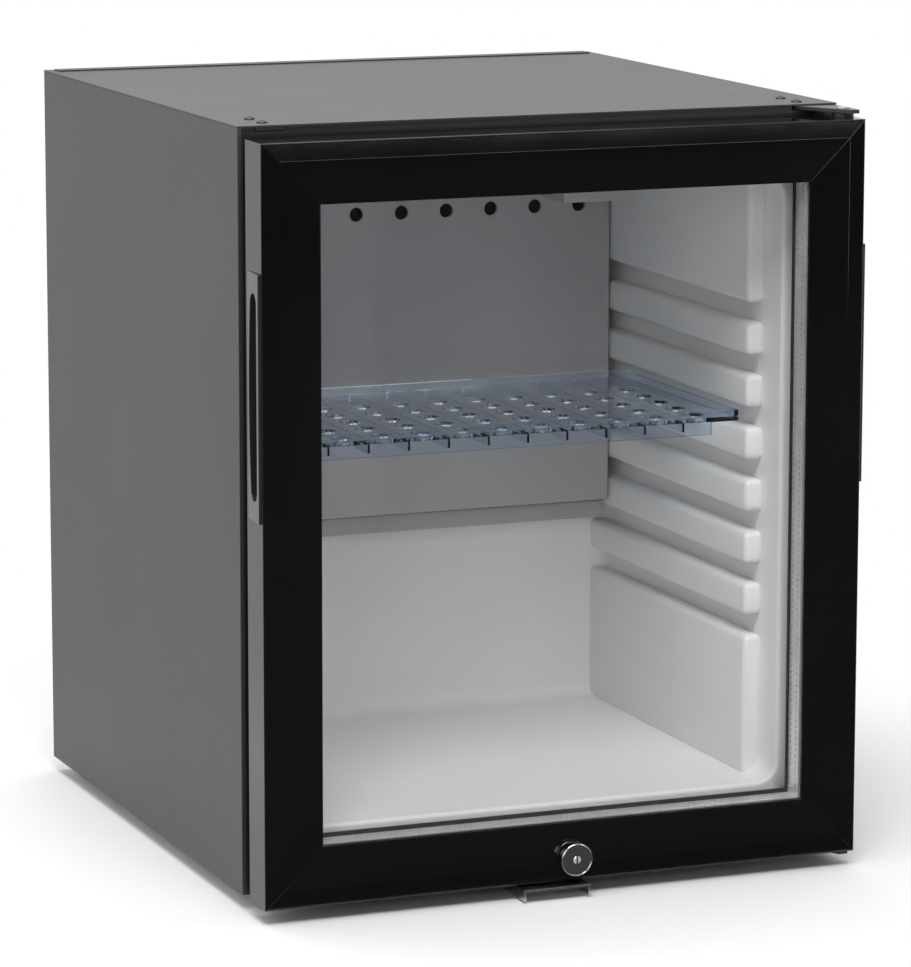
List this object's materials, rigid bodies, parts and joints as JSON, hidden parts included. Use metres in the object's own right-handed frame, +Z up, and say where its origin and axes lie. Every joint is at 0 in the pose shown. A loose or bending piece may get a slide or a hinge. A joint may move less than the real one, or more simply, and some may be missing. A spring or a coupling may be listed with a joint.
{
  "type": "minibar fridge",
  "caption": "Low black absorption minibar with a framed double-glazed door hinged on the right, finger grips in both door edges, a cam lock and a white interior with a clear sliding shelf.",
  "frame": {"origin": "middle of the bounding box in plan, at the floor under the feet", "axes": "+Z up, +X to the right of someone facing the door, the door at the front facing -Y"},
  "size_m": [0.4238, 0.468, 0.5116],
  "materials": {
    "black_paint": "satin",
    "zinc_sheet": "satin",
    "zinc_screw": "satin",
    "black_frame": "gloss",
    "black_plastic": "matte",
    "liner_white": "satin",
    "cover_grey": "satin",
    "foam": "matte",
    "black_rubber": "matte",
    "clear_glass": "polished",
    "clear_shelf": "gloss",
    "frosted_lamp": "satin",
    "aluminium": "satin",
    "chrome": "polished",
    "unit_paint": "satin"
  },
  "bodies": {
    "cabinet": {"left_side_panel": "black_paint", "right_side_panel": "black_paint", "top_panel": "black_paint", "base_pan": "zinc_sheet", "rear_panel": "zinc_sheet", "front_frame": "black_plastic", "inner_liner": "liner_white", "insulation_foam": "foam", "foot_front_left": "black_rubber", "foot_front_right": "black_rubber", "foot_rear_left": "black_rubber", "foot_rear_right": "black_rubber", "top_hinge_bracket": "black_paint", "bottom_hinge_bracket": "black_paint", "blanking_plate": "black_paint", "hinge_pins": "zinc_screw", "top_hinge_screws": "zinc_screw", "bottom_hinge_screws": "zinc_screw", "strike_screws": "zinc_screw", "strike_bracket": "zinc_sheet", "evaporator": "aluminium", "evaporator_cover": "cover_grey", "drip_gutter": "liner_white", "drain_tube": "liner_white", "lamp_base": "liner_white", "led_board": "liner_white", "lamp_diffuser": "frosted_lamp", "boiler_jacket": "zinc_sheet", "boiler_tube": "unit_paint", "heater_cartridge": "unit_paint", "condenser_tube": "unit_paint", "condenser_fins": "aluminium", "heat_exchanger": "unit_paint", "evaporator_tube": "unit_paint", "absorber_vessel": "unit_paint", "absorber_coil": "unit_paint", "liquid_line": "unit_paint", "unit_brackets": "zinc_sheet", "control_box": "black_plastic", "mains_inlet": "black_plastic"},
    "door": {"door_rail_top": "black_frame", "door_rail_bottom": "black_frame", "door_stile_left": "black_frame", "door_stile_right": "black_frame", "outer_pane": "clear_glass", "inner_pane": "clear_glass", "edge_seal": "black_rubber", "spacer_frame": "aluminium", "glazing_beads": "black_frame", "door_gasket": "black_rubber", "gasket_magnets": "black_rubber", "left_grip": "black_plastic", "right_grip": "black_plastic", "hinge_bushes": "black_plastic", "lock_housing": "chrome", "lock_nut": "zinc_screw"},
    "lock": {"lock_plug": "chrome", "lock_cam": "zinc_screw", "cam_screw": "zinc_screw"},
    "shelf": {"shelf": "clear_shelf"}
  },
  "joints": [
    {"name": "door_hinge", "type": "hinge", "parent": "cabinet", "child": "door", "pos_m": [0.202, -0.207, 0.25], "axis": [0, 0, 1], "range_deg": [0, 115]},
    {"name": "lock_turn", "type": "hinge", "parent": "door", "child": "lock", "pos_m": [0.0035, -0.226, 0.026], "axis": [0, -1, 0], "range_deg": [0, 90]},
    {"name": "shelf_slide", "type": "slide", "parent": "cabinet", "child": "shelf", "axis": [0, -1, 0], "range_m": [0, 0.055]}
  ]
}
